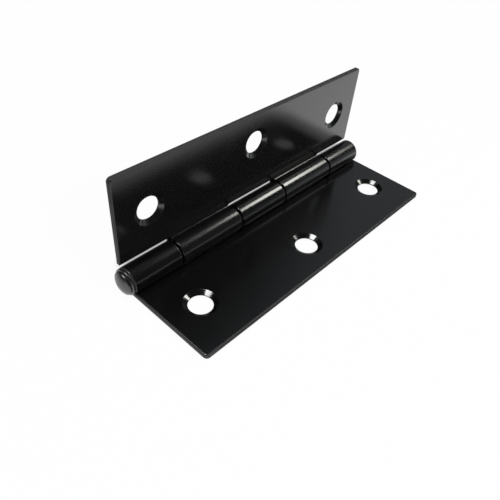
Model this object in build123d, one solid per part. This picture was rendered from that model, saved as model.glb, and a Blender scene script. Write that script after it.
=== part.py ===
from build123d import *
import math
import os

# A loose pin butt hinge of rolled sheet steel, open at a right angle, in millimetres.
# X runs along the pin, with the pin's head at -X. The leaf with three knuckles lies on z = 0
# towards -Y, and the leaf with two knuckles stands up behind the barrel.

# Leaves
hinge_length = 75.0
leaf_reach = 23.0  # from the pin's axis to a leaf's free edge
leaf_thickness = 1.2
leaf_corner_radius = 0.9
edge_radius = 0.3  # soft edge left by tumbling and enamel
rest_opening = 90.0  # degrees between the inner faces of the two leaves

# Knuckles
end_knuckle_length = 12.1
middle_knuckle_length = 14.6
knuckle_gap = 0.4  # along the pin, between one knuckle and the next
seam_gap = 0.2  # between the end of the rolled sheet and its own leaf
notch_clearance = 0.35  # between a leaf's notch and the other leaf's knuckle
notch_end_radius = 0.5  # corner where a notch runs out at the end of a leaf

# Screw holes, countersunk from the inner face
screw_hole_diameter = 5.2  # at the narrowest
screw_hole_land = 0.25  # plain wall below the countersink
countersink_diameter = 7.2  # at the inner face
countersink_angle = 118.0  # as a drill's point cuts it
countersink_edge_radius = 0.1
break_out_angle = 110.0  # flare between the plain wall and the back
outer_hole_spacing = 59.0  # between the two outer holes, along the pin
outer_hole_reach = 12.7  # from the pin's axis
middle_hole_reach = 15.8  # from the pin's axis, nearer the free edge

# Pin
pin_diameter = 3.5
pin_clearance = 0.05  # radial, between the pin and the rolled bores
pin_end_setback = 0.3  # how far the plain end stops inside the barrel
pin_end_chamfer = 0.4
flange_overhang = 1.2  # radius of the head's flange, less the pin's radius
flange_thickness = 0.6
dome_overhang = 0.8  # radius of the head's dome, less the pin's radius
dome_wall = 0.45  # straight side of the dome, above the flange
dome_rise = 0.85
head_edge_radius = 0.28

# Worked out from the sizes above
pin_radius = pin_diameter / 2
bore_radius = pin_radius + pin_clearance
barrel_radius = bore_radius + leaf_thickness
half_length = hinge_length / 2
pin_axis = Axis((0, 0, barrel_radius), (1, 0, 0))
notch_reach = math.sqrt((barrel_radius + notch_clearance) ** 2 - bore_radius**2)
hole_radius = screw_hole_diameter / 2
cut_overrun = leaf_thickness

end_knuckle_inner = half_length - end_knuckle_length
middle_knuckle_half = middle_knuckle_length / 2
three_knuckle_spans = [
    (-half_length, -end_knuckle_inner),
    (-middle_knuckle_half, middle_knuckle_half),
    (end_knuckle_inner, half_length),
]
two_knuckle_spans = [
    (-end_knuckle_inner + knuckle_gap, -middle_knuckle_half - knuckle_gap),
    (middle_knuckle_half + knuckle_gap, end_knuckle_inner - knuckle_gap),
]


def knuckle(start, end):
    """A tab of the leaf with its knuckle: one thickness of sheet, rolled up and round the pin's axis."""
    seam = math.asin((bore_radius - seam_gap) / barrel_radius)
    turn = 270 + math.degrees(seam)
    axis_point = (0, barrel_radius)
    outer_end = (-barrel_radius * math.cos(seam), barrel_radius - barrel_radius * math.sin(seam))
    inner_end = (-bore_radius * math.cos(seam), barrel_radius - bore_radius * math.sin(seam))
    outline = [
        Line((-notch_reach, 0), (0, 0)),
        CenterArc(axis_point, barrel_radius, -90, turn),
        Line(outer_end, inner_end),
        CenterArc(axis_point, bore_radius, -90, turn),
        Line((0, leaf_thickness), (-notch_reach, leaf_thickness)),
        Line((-notch_reach, leaf_thickness), (-notch_reach, 0)),
    ]
    return extrude(Plane.YZ.offset(start) * make_face(outline), end - start)


def screw_hole():
    """What a countersunk hole takes out of a leaf that lies on z = 0 with its inner face up."""
    countersink_radius = countersink_diameter / 2
    slope = math.tan(math.radians(countersink_angle / 2))
    land_top = leaf_thickness - (countersink_radius - hole_radius) / slope
    land_foot = land_top - screw_hole_land
    back_radius = hole_radius + (land_foot + cut_overrun) * math.tan(math.radians(break_out_angle / 2))
    outline = Polyline(
        (0, -cut_overrun),
        (back_radius, -cut_overrun),
        (hole_radius, land_foot),
        (hole_radius, land_top),
        (countersink_radius + cut_overrun * slope, leaf_thickness + cut_overrun),
        (0, leaf_thickness + cut_overrun),
        close=True,
    )
    return revolve(Plane.XZ * make_face(outline), Axis.Z)


def hole_places():
    """Each screw hole's place along the pin and its reach from the pin's axis."""
    outer_x = outer_hole_spacing / 2
    return [(-outer_x, outer_hole_reach), (0, middle_hole_reach), (outer_x, outer_hole_reach)]


def notch_corners(body, spans):
    """The upright corners along a leaf's notch line: those against its knuckles, and the rest."""
    sides = [x for span in spans for x in span]
    corners = body.edges().filter_by(Axis.Z).filter_by_position(Axis.Y, -notch_reach, -notch_reach)
    inside = [edge for edge in corners if min(abs(edge.center().X - x) for x in sides) < knuckle_gap / 2]
    return inside, [edge for edge in corners if edge not in inside]


def leaf(spans):
    """A leaf that lies on z = 0 towards -Y, with a rolled knuckle on each span along the pin."""
    plate_depth = leaf_reach - notch_reach
    plate_centre = Pos(0, -notch_reach - plate_depth / 2, leaf_thickness / 2)
    plate = plate_centre * Box(hinge_length, plate_depth, leaf_thickness)
    plate = fillet(plate.edges().filter_by(Axis.Z).group_by(Axis.Y)[0], leaf_corner_radius)
    body = plate + [knuckle(start, end) for start, end in spans]

    # Inside corners are no larger than the gap they stand in, and a notch may run out at the leaf's ends
    inside, end_corners = notch_corners(body, spans)
    if end_corners:
        body = fillet(end_corners, notch_end_radius)
        inside, _ = notch_corners(body, spans)
    body = fillet(inside, knuckle_gap)

    # Every sharp edge is eased, and the lines where the flat sheet runs into its roll stay smooth
    roll_lines = body.edges().filter_by(Axis.X).filter_by_position(Axis.Y, 0, 0)
    upright_edges = body.edges().filter_by(Axis.Z)
    sharp = body.edges() - roll_lines - upright_edges
    body = fillet(sharp, min(edge_radius, leaf_thickness / 3))

    for x, reach in hole_places():
        body -= Pos(x, -reach, 0) * screw_hole()
    rims = body.edges().filter_by(GeomType.CIRCLE).filter_by_position(Axis.Z, leaf_thickness, leaf_thickness)
    rims = [rim for rim in rims if rim.radius > hole_radius]
    return fillet(rims, countersink_edge_radius)


def loose_pin():
    """The pin with its head, a domed button on a thin flange, seated against the near end of the barrel."""
    flange_radius = pin_radius + flange_overhang
    dome_radius = pin_radius + dome_overhang
    seat = -half_length
    flange_face = seat - flange_thickness
    dome_edge = flange_face - dome_wall
    crown = dome_edge - dome_rise
    tip = half_length - pin_end_setback
    outline = [
        TangentArc((crown, 0), (dome_edge, dome_radius), tangent=(0, 1)),
        Polyline(
            (dome_edge, dome_radius),
            (flange_face, dome_radius),
            (flange_face, flange_radius),
            (seat, flange_radius),
            (seat, pin_radius),
            (tip - pin_end_chamfer, pin_radius),
            (tip, pin_radius - pin_end_chamfer),
            (tip, 0),
            (crown, 0),
        ),
    ]
    pin = Pos(0, 0, barrel_radius) * revolve(make_face(outline), Axis.X)

    # The dome's edge and the flange's rim are rounded, and the corner between them stays sharp
    circles = pin.edges().filter_by(GeomType.CIRCLE)
    dome_rim = circles.filter_by_position(Axis.X, dome_edge, dome_edge)
    flange_rims = [circle for circle in circles if circle.radius > (dome_radius + flange_radius) / 2]
    largest_radius = min(0.47 * flange_thickness, 0.7 * dome_wall)
    return fillet(dome_rim + flange_rims, min(head_edge_radius, largest_radius))


# The standing leaf is turned over onto the first, then swung open about the pin
three_knuckle_leaf = leaf(three_knuckle_spans)
two_knuckle_leaf = leaf(two_knuckle_spans).rotate(Axis((0, 0, barrel_radius), (0, 1, 0)), 180)
two_knuckle_leaf = two_knuckle_leaf.rotate(pin_axis, -rest_opening)

pieces = {
    "three_knuckle_leaf": three_knuckle_leaf,
    "two_knuckle_leaf": two_knuckle_leaf,
    "loose_pin": loose_pin(),
}

os.makedirs("parts", exist_ok=True)
for name, piece in pieces.items():
    export_step(piece, f"parts/{name}.step")
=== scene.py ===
import math

import bpy
from mathutils import Matrix, Quaternion, Vector


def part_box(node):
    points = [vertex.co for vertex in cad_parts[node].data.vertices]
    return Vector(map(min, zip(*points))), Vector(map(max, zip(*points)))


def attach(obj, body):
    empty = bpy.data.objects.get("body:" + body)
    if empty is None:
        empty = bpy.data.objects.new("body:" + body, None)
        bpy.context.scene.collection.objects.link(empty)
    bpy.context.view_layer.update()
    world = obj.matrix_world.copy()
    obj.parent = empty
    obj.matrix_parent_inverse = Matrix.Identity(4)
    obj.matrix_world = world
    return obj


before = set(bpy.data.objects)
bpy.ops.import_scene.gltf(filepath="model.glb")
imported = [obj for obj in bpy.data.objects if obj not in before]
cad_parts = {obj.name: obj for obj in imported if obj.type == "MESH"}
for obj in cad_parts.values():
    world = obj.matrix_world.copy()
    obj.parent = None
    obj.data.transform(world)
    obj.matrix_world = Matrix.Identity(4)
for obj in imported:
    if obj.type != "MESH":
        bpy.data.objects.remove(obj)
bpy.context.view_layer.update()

# Everything is in metres, in the frame of the part: X along the pin, with its head at -X
MM = 0.001

# Camera, fitted to the leaves' edges, corners and screw holes in the 500 x 500 photo
camera_target = Vector((-12.50, -9.80, 2.70)) * MM
camera_distance = 112.0 * MM
camera_azimuth = -50.46
camera_elevation = 42.39
camera_roll = 5.83
camera_lens = 37.43
camera_sensor = 36.0
camera_clip_start = 1.0 * MM

# Sizes read from the part, with the barrel's middle, which the lamps face
pin_low, pin_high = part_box("loose_pin")
flat_low, flat_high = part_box("three_knuckle_leaf")
barrel_middle = Vector((0, 0, (pin_low.z + pin_high.z) / 2))
barrel_radius = flat_high.z / 2
half_length = flat_high.x
leaf_reach = -flat_low.y

# Floor. Each list of steps here and below holds the (position, level) pairs of a ramp
floor_size = 6.0
floor_drop = 0.02 * MM
floor_colour = (0.90, 0.90, 0.90, 1)
floor_painted_shade = (0.05, 0.05, 0.05, 1)
floor_glow_share = 0.95

# Painted shade on the floor: the ground under the barrel is painted dark, and the ground that the slits show
# just behind it gets a painted contact shadow
dark_inset = Vector((3.0, 0, 0)) * MM
dark_fade = 1.0 * MM
dark_steps = [(0.1, 0.0), (0.9, 1.0)]
contact_low = Vector((-32.5, 4.5, 0)) * MM
contact_high = Vector((42.0, 7.0, 0)) * MM
contact_fade = 3.0 * MM
contact_steps = [(0.0, 0.35), (1.0, 1.0)]

# The floor as the enamel mirrors it, a painted reflection with painted shade and light: grey in the flat
# leaf's own holes, darkest at the foot of a leaf, paler away from it, and dark again far off
shade_reach = 10.0 * MM
shade_depth = 40.0 * MM
shade_near_inset = 10.0 * MM
shade_foot = 0.02
shade_steps = [
    (0.0, 0.26),
    (shade_foot, 0.02),
    (0.25, 0.10),
    (0.45, 0.25),
    (0.63, 0.34),
    (0.8, 0.58),
    (1.0, 1.0),
]
lit_margin = Vector((25.0, 8.0, 0)) * MM
lit_far_margin = Vector((100.0, 8.0, 0)) * MM
lit_fade = 40.0 * MM
lit_steps = [(0.0, 1.0), (1.0, 0.05)]

# Enamel: each pair runs from a full film to a thin one
# The flat leaf's black is darkened as painted shade and the standing leaf's is lightened as painted light;
# the pin's is the plain black
flat_black_painted_shade = ((0.0029, 0.0029, 0.0030, 1), (0.0041, 0.0040, 0.0040, 1))
standing_black_painted_light = ((0.0056, 0.0056, 0.0058, 1), (0.0079, 0.0078, 0.0076, 1))
pin_black = ((0.0044, 0.0044, 0.0046, 1), (0.0062, 0.0061, 0.0060, 1))
sheet_roughness = (0.12, 0.16)
knuckle_roughness = (0.18, 0.22)
pin_roughness = (0.24, 0.32)
enamel_ior = 1.9
film_scale = 90.0
film_detail = 3
film_span = (0.3, 0.7)
peel_scale = 700.0
peel_detail = 2
peel_depth = 0.007 * MM
peel_strength = 0.5

# The sheet counts as rolled near the pin, and its peel is drawn out smooth there
rolled_outer = 1.4 * barrel_radius
rolled_inner = 1.2 * barrel_radius
rolled_peel_steps = [(0.0, 1.0), (1.0, 0.1)]

# Cut edges, where the enamel is thin and dull, in a lighter grey that is partly thin enamel and partly a
# painted sheen for the edges' reflections
thin_enamel_and_sheen_grey = (0.045, 0.045, 0.045, 1)
edge_width = 0.3 * MM
edge_core = 0.1 * MM
edge_roughness = (0.45, 0.45, 0.45, 1)
edge_gloss_steps = [(0.0, 0.5), (1.0, 0.06)]

# Enamel run into the seams of the standing leaf's two knuckles
sheet_thickness = 1.2 * MM
bead_radius = 0.35 * MM
bead_facets = 10
bead_root = 0.1 * MM
bead_sharp_angle = 30.0
bead_spans = {"near_seam_bead": (-24.6 * MM, -8.1 * MM), "far_seam_bead": (8.1 * MM, 24.6 * MM)}

# Light: a band of sky round the dark direction, a glow past the far end, and three lamps
white = (1, 1, 1, 1)
plain = (1.0, 1.0, 1.0)
cool = (0.93, 1.0, 1.06)
warm = (1.0, 1.0, 0.93)
dark_direction = (0.364, 0.770, 0.524)
band_steps = [
    (0.5, 0.02),
    (0.65, 0.06),
    (0.76, 0.20),
    (0.85, 0.20),
    (0.88, 0.13),
    (0.90, 0.06),
    (0.92, 0.02),
]
glow_direction = (0.90, -0.40, -0.20)
glow_steps = [(0.70, 0.0), (0.80, 0.04), (0.85, 0.12), (0.90, 0.28), (1.0, 0.8)]
lamps = {
    "key_lamp": {
        "direction": (0.66, -0.226, 0.710),
        "distance": 0.6,
        "width": 0.12,
        "height": 0.19,
        "radiance": 9.0,
        "tint": warm,
    },
    "top_lamp": {
        "direction": (-0.285, 0.18, 0.95),
        "distance": 0.7,
        "width": 0.34,
        "height": 0.26,
        "radiance": 10.5,
    },
    "fill_lamp": {
        "direction": (0.10, -0.82, 0.55),
        "distance": 0.7,
        "width": 0.32,
        "height": 0.32,
        "radiance": 8.0,
        "is_mirrored": False,
    },
}

# Ray depths at which a lamp is met: up to the first it has its whole strength, and from the second on a share
one_reflection = 2
two_reflections = 3
echo_share = 0.12


def feed(tree, socket, value):
    """Set an input socket to a value, or link it to another socket."""
    if isinstance(value, bpy.types.NodeSocket):
        tree.links.new(value, socket)
    else:
        socket.default_value = value


def add_node(tree, kind, **inputs):
    """A new node of that kind, with its named input sockets fed."""
    node = tree.nodes.new(kind)
    for name, value in inputs.items():
        feed(tree, node.inputs[name.replace("_", " ")], value)
    return node


def math_node(tree, operation, *values):
    """A math node on values, each a number or a socket."""
    node = tree.nodes.new("ShaderNodeMath")
    node.operation = operation
    for socket, value in zip(node.inputs, values):
        feed(tree, socket, value)
    return node.outputs["Value"]


def vector_node(tree, operation, *values):
    """A vector math node on vectors, each a tuple or a socket."""
    node = tree.nodes.new("ShaderNodeVectorMath")
    node.operation = operation
    for socket, value in zip(node.inputs, values):
        feed(tree, socket, value)
    return node.outputs["Value" if operation in ("LENGTH", "DOT_PRODUCT") else "Vector"]


def ramp(tree, source, steps, tint=plain):
    """A colour ramp on source, with (position, level) steps of one tint."""
    steps = list(steps)
    node = add_node(tree, "ShaderNodeValToRGB", Fac=source)
    elements = node.color_ramp.elements
    while len(elements) < len(steps):
        elements.new(steps[0][0])
    for element, (position, level) in zip(elements, steps):
        element.position = position
        element.color = (level * tint[0], level * tint[1], level * tint[2], 1)
    return node.outputs["Color"]


def noise(tree, place, scale, detail):
    node = add_node(tree, "ShaderNodeTexNoise", Vector=place, Scale=scale, Detail=detail)
    return node.outputs["Fac"]


def mix_colour(tree, share, first, second, blend="MIX"):
    """first where share is 0 and second blended with it where share is 1. Each is a value or a socket."""
    node = tree.nodes.new("ShaderNodeMix")
    node.data_type = "RGBA"
    node.blend_type = blend
    colours = [socket for socket in node.inputs if socket.type == "RGBA"]
    for socket, value in zip([node.inputs["Factor"]] + colours, (share, first, second)):
        feed(tree, socket, value)
    return next(socket for socket in node.outputs if socket.type == "RGBA")


def share_between(tree, value, low, high):
    """0 where the value is at low or beyond it, rising to 1 where it is at high."""
    node = add_node(tree, "ShaderNodeMapRange", Value=value, From_Min=low, From_Max=high)
    return node.outputs["Result"]


def from_pin(tree, place):
    """How far a place lies from the pin's axis."""
    offset = vector_node(tree, "SUBTRACT", place, tuple(barrel_middle))
    return vector_node(tree, "LENGTH", vector_node(tree, "MULTIPLY", offset, (0, 1, 1)))


def edge_share(tree, place):
    """1 on a leaf's cut edges, at its free edge and at its two ends, and 0 on its faces."""
    along = math_node(tree, "ABSOLUTE", vector_node(tree, "DOT_PRODUCT", place, (1, 0, 0)))
    out = from_pin(tree, place)
    ends = share_between(tree, along, half_length - edge_width, half_length - edge_core)
    free = share_between(tree, out, leaf_reach - edge_width, leaf_reach - edge_core)
    return math_node(tree, "MAXIMUM", ends, free)


def enamel(name, blacks, flat_roughness, rolled_roughness, has_cut_edges):
    """Glossy black enamel: a smooth film with a faint orange peel, thin, dull and lighter along cut edges,
    where the lighter grey is partly painted sheen.
    """
    material = bpy.data.materials.new(name)
    material.use_nodes = True
    tree = material.node_tree
    shader = tree.nodes["Principled BSDF"]
    place = tree.nodes.new("ShaderNodeTexCoord").outputs["Object"]

    film = noise(tree, place, film_scale, film_detail)
    colour = mix_colour(tree, film, *blacks)
    rolled_share = share_between(tree, from_pin(tree, place), rolled_outer, rolled_inner)
    flat = ramp(tree, film, zip(film_span, flat_roughness))
    rolled = ramp(tree, film, zip(film_span, rolled_roughness))
    roughness = mix_colour(tree, rolled_share, flat, rolled)
    if has_cut_edges:
        edges = edge_share(tree, place)
        # The lighter grey of the cut edges is partly thin enamel and partly a painted sheen
        colour = mix_colour(tree, edges, colour, thin_enamel_and_sheen_grey)
        roughness = mix_colour(tree, edges, roughness, edge_roughness)
        feed(tree, shader.inputs["Specular IOR Level"], ramp(tree, edges, edge_gloss_steps))

    flatness = ramp(tree, rolled_share, rolled_peel_steps)
    peel = math_node(tree, "MULTIPLY", noise(tree, place, peel_scale, peel_detail), flatness)
    bump = add_node(tree, "ShaderNodeBump", Strength=peel_strength, Distance=peel_depth, Height=peel)

    feed(tree, shader.inputs["Base Color"], colour)
    feed(tree, shader.inputs["Roughness"], roughness)
    feed(tree, shader.inputs["Normal"], bump.outputs["Normal"])
    feed(tree, shader.inputs["IOR"], enamel_ior)
    return material


def put_on(node_name, material):
    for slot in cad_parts[node_name].material_slots:
        slot.material = material


def seam_bead(name, start, end, material):
    """The hollow fillet that enamel leaves in the seam between a knuckle and the standing leaf's face."""
    face = barrel_radius - sheet_thickness
    centre_y = face - bead_radius
    centre_rise = math.sqrt((barrel_radius + bead_radius) ** 2 - centre_y**2)
    first = math.atan2(-centre_rise, -centre_y)
    section = []
    for facet in range(bead_facets + 1):
        angle = first * (1 - facet / bead_facets)
        y = centre_y + bead_radius * math.cos(angle)
        section.append((y, centre_rise + bead_radius * math.sin(angle)))

    # The root lies inside the leaf and the roll
    lowest = section[0][1] - 2 * bead_root
    root = face + bead_root
    section += [(root, section[-1][1]), (root, lowest), (section[0][0], lowest)]
    count = len(section)
    points = [(x, y, barrel_middle.z + rise) for x in (start, end) for y, rise in section]
    sides = [(i, (i + 1) % count, (i + 1) % count + count, i + count) for i in range(count)]
    caps = [tuple(reversed(range(count))), tuple(range(count, 2 * count))]
    mesh = bpy.data.meshes.new(name)
    mesh.from_pydata(points, [], sides + caps)
    mesh.shade_smooth()
    mesh.set_sharp_from_angle(angle=math.radians(bead_sharp_angle))
    mesh.materials.append(material)
    bead = bpy.data.objects.new(name, mesh)
    bpy.context.scene.collection.objects.link(bead)
    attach(bead, "standing_leaf")


def distance_from(tree, place, low, high):
    """How far a place on the floor lies outside the ground between two corners."""
    middle = ((low.x + high.x) / 2, (low.y + high.y) / 2, 0)
    half = ((high.x - low.x) / 2, (high.y - low.y) / 2, floor_size)
    offset = vector_node(tree, "ABSOLUTE", vector_node(tree, "SUBTRACT", place, middle))
    outside = vector_node(tree, "MAXIMUM", vector_node(tree, "SUBTRACT", offset, half), (0, 0, 0))
    return vector_node(tree, "LENGTH", outside)


def faded(tree, distance, fade, steps):
    """Levels that follow the steps over a distance of one fade."""
    return ramp(tree, math_node(tree, "DIVIDE", distance, fade), steps)


def clear_ground(tree, place):
    """1 on open floor, 0 under the barrel, and between them just behind it: a mask of painted shade and
    painted contact shadow.
    """
    barrel_low = Vector((flat_low.x, -barrel_radius, 0)) + dark_inset
    barrel_high = Vector((flat_high.x, barrel_radius, 0)) - dark_inset
    from_barrel = distance_from(tree, place, barrel_low, barrel_high)
    from_contact = distance_from(tree, place, contact_low, contact_high)
    dark = faded(tree, from_barrel, dark_fade, dark_steps)
    return math_node(tree, "MULTIPLY", dark, faded(tree, from_contact, contact_fade, contact_steps))


def mirrored_floor(tree, place, clear):
    """The floor as it shows in the enamel, a painted reflection: painted shade round the flat leaf and behind
    the standing leaf, and painted light that fades far off.
    """
    near_inset = Vector((shade_near_inset, 0, 0))
    back_low = Vector((flat_low.x, flat_high.y, 0)) + near_inset
    back_high = Vector((flat_high.x, flat_high.y + shade_depth, 0))
    from_leaf = distance_from(tree, place, flat_low + near_inset, flat_high)
    from_back = distance_from(tree, place, back_low, back_high)
    from_back = math_node(tree, "MAXIMUM", from_back, shade_foot * shade_reach)
    away = math_node(tree, "MINIMUM", from_leaf, from_back)
    from_lit = distance_from(tree, place, flat_low - lit_margin, flat_high + lit_far_margin)
    shade = faded(tree, away, shade_reach, shade_steps)
    shade = mix_colour(tree, 1, shade, faded(tree, from_lit, lit_fade, lit_steps), "MULTIPLY")
    return mix_colour(tree, 1, shade, clear, "MULTIPLY")


def floor():
    """A white floor that keeps a faint shadow of the hinge, with painted shade under and just behind the
    barrel.
    """
    half = floor_size / 2
    corners = [(-half, -half), (half, -half), (half, half), (-half, half)]
    mesh = bpy.data.meshes.new("floor")
    mesh.from_pydata([(x, y, -floor_drop) for x, y in corners], [], [(0, 1, 2, 3)])
    plane = bpy.data.objects.new("floor", mesh)
    bpy.context.scene.collection.objects.link(plane)

    material = bpy.data.materials.new("floor_white")
    material.use_nodes = True
    tree = material.node_tree
    tree.nodes.remove(tree.nodes["Principled BSDF"])
    place = tree.nodes.new("ShaderNodeTexCoord").outputs["Object"]
    path = tree.nodes.new("ShaderNodeLightPath").outputs

    # The camera and the enamel see it glow, and all other light meets plain paper
    clear = clear_ground(tree, place)
    seen = math_node(tree, "MULTIPLY", path["Is Camera Ray"], clear)
    seen = math_node(tree, "MULTIPLY", seen, floor_glow_share)
    mirrored = math_node(tree, "MAXIMUM", path["Is Glossy Ray"], path["Is Transmission Ray"])
    glow_colour = mix_colour(tree, mirrored, white, mirrored_floor(tree, place, clear))
    glow = add_node(tree, "ShaderNodeEmission", Color=glow_colour)
    # The paper is painted dark under the barrel, as painted shade
    paper_colour = mix_colour(tree, clear, floor_painted_shade, floor_colour)
    paper = add_node(tree, "ShaderNodeBsdfDiffuse", Color=paper_colour)
    mixed = add_node(tree, "ShaderNodeMixShader", Fac=math_node(tree, "MAXIMUM", seen, mirrored))
    feed(tree, mixed.inputs[1], paper.outputs["BSDF"])
    feed(tree, mixed.inputs[2], glow.outputs["Emission"])
    feed(tree, tree.nodes["Material Output"].inputs["Surface"], mixed.outputs["Shader"])
    mesh.materials.append(material)


def surroundings():
    """A dark room with a soft band of light overhead, a glow past the far end, and white for the camera."""
    world = bpy.data.worlds.new("studio")
    bpy.context.scene.world = world
    world.use_nodes = True
    tree = world.node_tree
    place = tree.nodes.new("ShaderNodeTexCoord").outputs["Generated"]
    to_dark = vector_node(tree, "DOT_PRODUCT", place, tuple(Vector(dark_direction).normalized()))
    to_glow = vector_node(tree, "DOT_PRODUCT", place, tuple(Vector(glow_direction).normalized()))
    band = ramp(tree, to_dark, band_steps, cool)
    sky = mix_colour(tree, 1, band, ramp(tree, to_glow, glow_steps, cool), "ADD")
    path = tree.nodes.new("ShaderNodeLightPath").outputs
    feed(tree, tree.nodes["Background"].inputs["Color"], mix_colour(tree, path["Is Camera Ray"], sky, white))


def softbox(name, direction, distance, width, height, radiance, tint=plain, is_mirrored=True):
    """A rectangular lamp that faces the barrel, with its width along the pin.

    It is weaker after two reflections, as it is in the photo.
    """
    data = bpy.data.lights.new(name, "AREA")
    data.shape = "RECTANGLE"
    data.size = width
    data.size_y = height
    data.energy = radiance * math.pi * width * height
    data.color = tint
    data.use_nodes = True
    tree = data.node_tree
    depth = tree.nodes.new("ShaderNodeLightPath").outputs["Ray Depth"]
    echo = add_node(tree, "ShaderNodeMapRange", Value=depth, To_Min=1, To_Max=echo_share)
    feed(tree, echo.inputs["From Min"], one_reflection)
    feed(tree, echo.inputs["From Max"], two_reflections)
    feed(tree, tree.nodes["Emission"].inputs["Strength"], echo.outputs["Result"])
    lamp = bpy.data.objects.new(name, data)
    back = Vector(direction).normalized()
    along = (Vector((1, 0, 0)) - back * back.x).normalized()
    across = back.cross(along)
    turn = Matrix((along, across, back)).transposed().to_4x4()
    lamp.matrix_world = Matrix.Translation(barrel_middle + back * distance) @ turn
    lamp.visible_camera = False
    lamp.visible_glossy = is_mirrored
    bpy.context.scene.collection.objects.link(lamp)


def photo_camera():
    """A camera where the photo was taken from, with the photo's slight roll."""
    azimuth = math.radians(camera_azimuth)
    elevation = math.radians(camera_elevation)
    level = math.cos(elevation)
    back = Vector((math.sin(azimuth) * level, -math.cos(azimuth) * level, math.sin(elevation)))
    roll = Quaternion((0, 0, 1), math.radians(camera_roll))
    data = bpy.data.cameras.new("photo_camera")
    data.sensor_width = camera_sensor
    data.lens = camera_lens
    data.clip_start = camera_clip_start
    camera = bpy.data.objects.new("photo_camera", data)
    camera.location = camera_target + back * camera_distance
    camera.rotation_mode = "QUATERNION"
    camera.rotation_quaternion = back.to_track_quat("Z", "Y") @ roll
    bpy.context.scene.collection.objects.link(camera)
    bpy.context.scene.camera = camera


# The two leaves get a darker and a lighter copy of one enamel: painted shade on the flat leaf, painted light
# on the standing leaf
flat_enamel_painted_shade = enamel("flat_leaf_enamel_painted_shade", flat_black_painted_shade, sheet_roughness, knuckle_roughness, True)
put_on("three_knuckle_leaf", flat_enamel_painted_shade)
standing_enamel_painted_light = enamel("standing_leaf_enamel_painted_light", standing_black_painted_light, sheet_roughness, knuckle_roughness, True)
put_on("two_knuckle_leaf", standing_enamel_painted_light)
put_on("loose_pin", enamel("pin_enamel", pin_black, pin_roughness, pin_roughness, False))
for bead_name, (bead_start, bead_end) in bead_spans.items():
    seam_bead(bead_name, bead_start, bead_end, standing_enamel_painted_light)

floor()
surroundings()
for lamp_name, lamp_settings in lamps.items():
    softbox(lamp_name, **lamp_settings)
photo_camera()

bpy.context.scene.view_settings.view_transform = "Standard"
